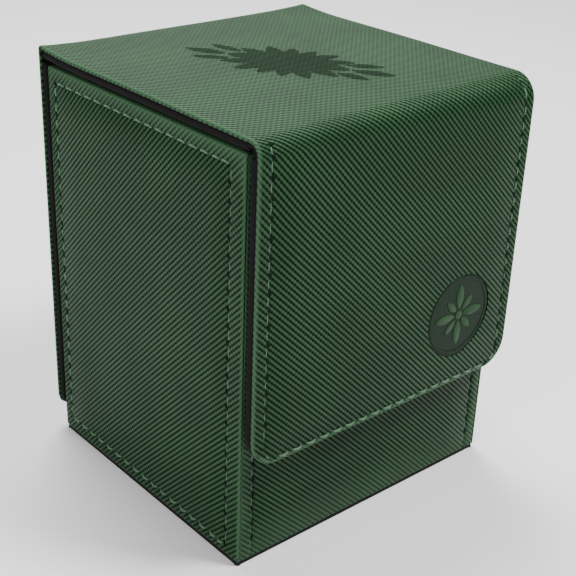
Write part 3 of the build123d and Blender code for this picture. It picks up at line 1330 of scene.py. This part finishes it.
def cover_stitching():
    """The seams of the cover: round the flap up to its fold, and round the back."""
    size = sizes()
    inset = size.seam_inset
    side = COVER_X - inset
    radius = size.flap_corner - inset
    foot = inset + radius
    end = FLAP_RUN + 0.5 * FOLD_RUN
    spots = straight((side, end), (side, foot))
    spots += round_corner((side - radius, foot), radius, 0, -pi / 2)
    spots += straight((side - radius, inset), (-side + radius, inset))
    spots += round_corner((-side + radius, foot), radius, 1.5 * pi, pi)
    spots += straight((-side, foot), (-side, end))
    bend_with_flap(sew("cover_top_stitching", COVER_TOP, spots))

    inset = size.back_seam
    side = COVER_X - inset
    spots = sewn_round(-side, side, inset, BACK_RUN - inset)
    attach(sew("cover_back_stitching", COVER_BACK, spots), "body")


def disc(name, radius, low, high, vertices=96):
    """A flat disc between two heights, at the origin."""
    deselect()
    bpy.ops.mesh.primitive_cylinder_add(
        vertices=vertices,
        radius=radius,
        depth=high - low,
        location=(0, 0, (low + high) / 2),
    )
    return settle(named(name))


def petal(name, start, reach, width, low, high, angle):
    """A leaf-shaped relief that begins at a distance from the origin and points outwards."""
    deselect()
    bpy.ops.mesh.primitive_circle_add(vertices=28, radius=0.5, fill_type="NGON")
    piece = named(name)
    piece.scale = (reach, width, 1)
    settle(piece)
    places = vertex_places(piece)
    for row in places:
        row[1] *= 1 - 0.45 * (2 * row[0] / reach) ** 2
        row[2] = high
    put_vertices(piece, places)
    thicken(piece, high - low)
    soften(piece, min(0.12 * MM, 0.4 * (high - low)), 2)
    piece.location = (start + reach / 2, 0, 0)
    settle(piece)
    piece.data.transform(Matrix.Rotation(angle, 4, "Z"))
    return piece


def flap_badge():
    """The round pressed mark: a sunk disc with a raised rim and an eight-leaf rosette."""
    shade = colours()
    floor_h = -BADGE_RECESS
    rim_margin, rim_slope, rim_width, rim_height = 0.35 * MM, 0.15 * MM, 0.5 * MM, 0.14 * MM
    ground = disc("badge_ground", BADGE_RADIUS, floor_h, floor_h + 0.12 * MM)
    edit(ground)
    choose("FACE", lambda face: face.normal.z > 0.99)
    bpy.ops.mesh.inset(thickness=rim_margin, depth=0)
    bpy.ops.mesh.inset(thickness=rim_slope, depth=rim_height)
    bpy.ops.mesh.inset(thickness=rim_width, depth=0)
    bpy.ops.mesh.inset(thickness=rim_slope, depth=-rim_height)
    leave_edit()
    parts = [ground]
    foot, leaf_top, boss_top = floor_h + 0.05 * MM, -0.04 * MM, -0.02 * MM
    leaf_start, boss_radius = 1.6 * MM, 1.1 * MM
    long_leaf, short_leaf = (6.4 * MM, 2.4 * MM), (4.4 * MM, 1.8 * MM)
    for i in range(8):
        reach, width = short_leaf if i % 2 else long_leaf
        angle = i * pi / 4
        parts.append(petal(f"leaf_{i}", leaf_start, reach, width, foot, leaf_top, angle))
    boss = disc("badge_boss", boss_radius, foot, boss_top, 32)
    soften(boss, 0.08 * MM, 2)
    parts.append(boss)
    mark = grained("pressed mark", tuple(shade.mark), 0.42, 1500.0, 0.03 * MM)
    raised = grained("raised mark", tuple(shade.relief), 0.42, 1500.0, 0.03 * MM)
    for part in parts:
        coat(part, mark if part is ground else raised)
    piece = join(parts, "pressed_mark")
    piece.data.transform(Matrix.Translation(Vector((BADGE_U, BADGE_V, 0))))
    lay(piece, COVER_TOP, uneven=False)
    take(piece)
    bpy.ops.object.shade_smooth_by_angle(angle=radians(30))
    deselect()
    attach(piece, "flap")
    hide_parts("flap_badge")


def lid_ornament():
    """The print on the lid: a symmetric spray of broad leaves round a plain centre."""
    size = sizes()
    shade = colours()
    low, high, lift = 0.0, 0.04 * MM, 0.02 * MM
    half = size.ornament_length / 2
    wide = size.ornament_width / 2
    lie = radians(-61)
    leaves = (
        (0.20 * half, 0.38 * half, 0.40 * wide, 0),
        (0.60 * half, 0.40 * half, 0.30 * wide, 0),
        (0.16 * half, 0.44 * half, 0.34 * wide, 24),
        (0.52 * half, 0.34 * half, 0.24 * wide, 15),
        (0.14 * half, 0.40 * half, 0.34 * wide, 50),
        (0.12 * half, 0.34 * half, 0.32 * wide, 76),
    )
    parts = []
    for facing in (0, 180):
        for start, reach, width, spread in leaves:
            for turn in {spread, -spread}:
                angle = radians(facing + turn)
                parts.append(petal("print_leaf", start, reach, width, low, high, angle))
    parts.append(disc("print_centre", 0.28 * half, low, high, 12))
    piece = join(parts, "lid_print")
    piece.data.transform(Matrix.Rotation(lie, 4, "Z"))
    middle_v = FLAP_RUN + FOLD_RUN - FOLD_Y - 1.0 * MM
    piece.data.transform(Matrix.Translation(Vector((0, middle_v, lift))))
    mark_leatherette(piece, COVER_TOP, -1)
    lay(piece, COVER_TOP)
    # The print's grooves keep the painted shade of the weave.
    ink, groove_shade = tuple(shade.ink), tuple(shade.groove_shade)
    coat(piece, leatherette("printed leatherette", ink, groove_shade, ink, shine=0.03))
    deselect()
    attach(piece, "lid")


# ---------------------------------------------------------------- stage


def area_light(name, place, aim, size, power):
    """A soft square light that faces a point."""
    light = bpy.data.lights.new(name, "AREA")
    light.shape = "SQUARE"
    light.size = size
    light.energy = power
    lamp = bpy.data.objects.new(name, light)
    bpy.context.scene.collection.objects.link(lamp)
    lamp.location = place
    towards = Vector(aim) - Vector(place)
    lamp.rotation_euler = towards.to_track_quat("-Z", "Y").to_euler()


def stage_floor():
    """A plain pale floor just under the base."""
    deselect()
    bpy.ops.mesh.primitive_grid_add(x_subdivisions=8, y_subdivisions=8, size=8)
    floor = named("floor")
    floor.location = (0, 0, -0.05 * MM)
    settle(floor)
    finish_piece(floor, studio_floor("studio floor", tuple(colours().floor)))


def stage_camera():
    """Camera at the viewing angle: left of the flap, above the lid, turned a little."""
    aim = Vector((4.654, 1.05, 43.409)) * MM
    azimuth, elevation, roll = radians(-41.535), radians(26.173), radians(2.266)
    distance = 303.07 * MM
    back = Vector(
        (sin(azimuth) * cos(elevation), -cos(azimuth) * cos(elevation), sin(elevation))
    )
    right = Vector((cos(azimuth), sin(azimuth), 0))
    up = back.cross(right)
    turned_right = right * cos(roll) + up * sin(roll)
    turned_up = up * cos(roll) - right * sin(roll)
    data = bpy.data.cameras.new("camera")
    data.sensor_width = 36
    data.lens = 73.65
    data.clip_start = 0.01
    camera = bpy.data.objects.new("camera", data)
    bpy.context.scene.collection.objects.link(camera)
    facing = Matrix((turned_right, turned_up, back)).transposed().to_4x4()
    camera.matrix_world = Matrix.Translation(aim + back * distance) @ facing
    bpy.context.scene.camera = camera


def stage_lights():
    """Four soft lights round the box and a dim, even surround."""
    middle = (0, 0, 0.05)
    area_light("back_top", (0.1, 0.35, 0.85), middle, 0.4, 15.0)
    area_light("high_key", (0.28, -0.38, 0.78), middle, 0.22, 12.5)
    area_light("left_fill", (-0.8, -0.15, 0.5), middle, 0.4, 7.1)
    area_light("back_sheen", (0.5, 0.6, 0.42), middle, 0.7, 1.6)
    world = bpy.data.worlds.new("studio")
    world.use_nodes = True
    background = world.node_tree.nodes["Background"]
    background.inputs["Color"].default_value = (1, 1, 1, 1)
    background.inputs["Strength"].default_value = 0.08
    bpy.context.scene.world = world


# ---------------------------------------------------------------- operators


class DECKBOX_OT_stage(bpy.types.Operator):
    """Set up the floor, the lights and the camera"""

    bl_idname = "deckbox.stage"
    bl_label = "Stage"

    def execute(self, context):
        stage_floor()
        stage_camera()
        stage_lights()
        return {"FINISHED"}


class DECKBOX_OT_boards(bpy.types.Operator):
    """Finish the boards and magnets that the CAD model holds"""

    bl_idname = "deckbox.boards"
    bl_label = "Boards and magnets"

    def execute(self, context):
        boards_and_magnets()
        return {"FINISHED"}


class DECKBOX_OT_base(bpy.types.Operator):
    """Make the sheet under the box"""

    bl_idname = "deckbox.base"
    bl_label = "Base sheet"

    def execute(self, context):
        base_sheet()
        return {"FINISHED"}


class DECKBOX_OT_tray(bpy.types.Operator):
    """Make the lined boards of the card tray"""

    bl_idname = "deckbox.tray"
    bl_label = "Card tray"

    def execute(self, context):
        tray_panel("tray_floor", rim=False)
        for wall in ("front", "rear", "left", "right"):
            tray_panel(f"tray_{wall}_lining", rim=True)
        return {"FINISHED"}


class DECKBOX_OT_side_panels(bpy.types.Operator):
    """Make the two leatherette side panels and their sewing"""

    bl_idname = "deckbox.side_panels"
    bl_label = "Side panels"

    def execute(self, context):
        side_panel(-1, "left")
        side_panel(1, "right")
        return {"FINISHED"}


class DECKBOX_OT_front_panel(bpy.types.Operator):
    """Make the leatherette front panel and its sewing"""

    bl_idname = "deckbox.front_panel"
    bl_label = "Front panel"

    def execute(self, context):
        front_panel()
        return {"FINISHED"}


class DECKBOX_OT_cover(bpy.types.Operator):
    """Make the wrap-over cover's leatherette, in two pieces that meet at the hinge"""

    bl_idname = "deckbox.cover"
    bl_label = "Cover leatherette"

    def execute(self, context):
        cover_top_skin()
        cover_back_skin()
        return {"FINISHED"}


class DECKBOX_OT_linings(bpy.types.Operator):
    """Make the black linings of the cover"""

    bl_idname = "deckbox.linings"
    bl_label = "Cover linings"

    def execute(self, context):
        cover_linings()
        return {"FINISHED"}


class DECKBOX_OT_stitching(bpy.types.Operator):
    """Sew the cover"""

    bl_idname = "deckbox.stitching"
    bl_label = "Cover stitching"

    def execute(self, context):
        cover_stitching()
        return {"FINISHED"}


class DECKBOX_OT_badge(bpy.types.Operator):
    """Press the round mark into the flap"""

    bl_idname = "deckbox.badge"
    bl_label = "Pressed mark"

    def execute(self, context):
        flap_badge()
        return {"FINISHED"}


class DECKBOX_OT_ornament(bpy.types.Operator):
    """Print the ornament on the lid"""

    bl_idname = "deckbox.ornament"
    bl_label = "Lid print"

    def execute(self, context):
        lid_ornament()
        return {"FINISHED"}


OPERATORS = (
    DECKBOX_OT_stage,
    DECKBOX_OT_boards,
    DECKBOX_OT_base,
    DECKBOX_OT_tray,
    DECKBOX_OT_side_panels,
    DECKBOX_OT_front_panel,
    DECKBOX_OT_cover,
    DECKBOX_OT_linings,
    DECKBOX_OT_stitching,
    DECKBOX_OT_badge,
    DECKBOX_OT_ornament,
)


class DECKBOX_PT_panel(bpy.types.Panel):
    """The deck box's steps, sizes and colours"""

    bl_idname = "DECKBOX_PT_panel"
    bl_label = "Deck box"
    bl_space_type = "VIEW_3D"
    bl_region_type = "UI"
    bl_category = "Deck box"

    def draw(self, context):
        layout = self.layout
        for operator in OPERATORS:
            layout.operator(operator.bl_idname)
        for group in (context.scene.deck_box_sizes, context.scene.deck_box_colours):
            column = layout.column()
            for key in group.__annotations__:
                column.prop(group, key)


CLASSES = (DeckBoxSizes, DeckBoxColours, *OPERATORS, DECKBOX_PT_panel)


def register():
    for item in CLASSES:
        bpy.utils.register_class(item)
    bpy.types.Scene.deck_box_sizes = bpy.props.PointerProperty(type=DeckBoxSizes)
    bpy.types.Scene.deck_box_colours = bpy.props.PointerProperty(type=DeckBoxColours)


def unregister():
    del bpy.types.Scene.deck_box_colours
    del bpy.types.Scene.deck_box_sizes
    for item in reversed(CLASSES):
        bpy.utils.unregister_class(item)


def main():
    """Builds the whole box."""
    register()
    bpy.ops.deckbox.stage()
    bpy.ops.deckbox.boards()
    bpy.ops.deckbox.base()
    bpy.ops.deckbox.tray()
    bpy.ops.deckbox.side_panels()
    bpy.ops.deckbox.front_panel()
    bpy.ops.deckbox.cover()
    bpy.ops.deckbox.linings()
    bpy.ops.deckbox.stitching()
    bpy.ops.deckbox.badge()
    bpy.ops.deckbox.ornament()


if __name__ == "__main__":
    main()
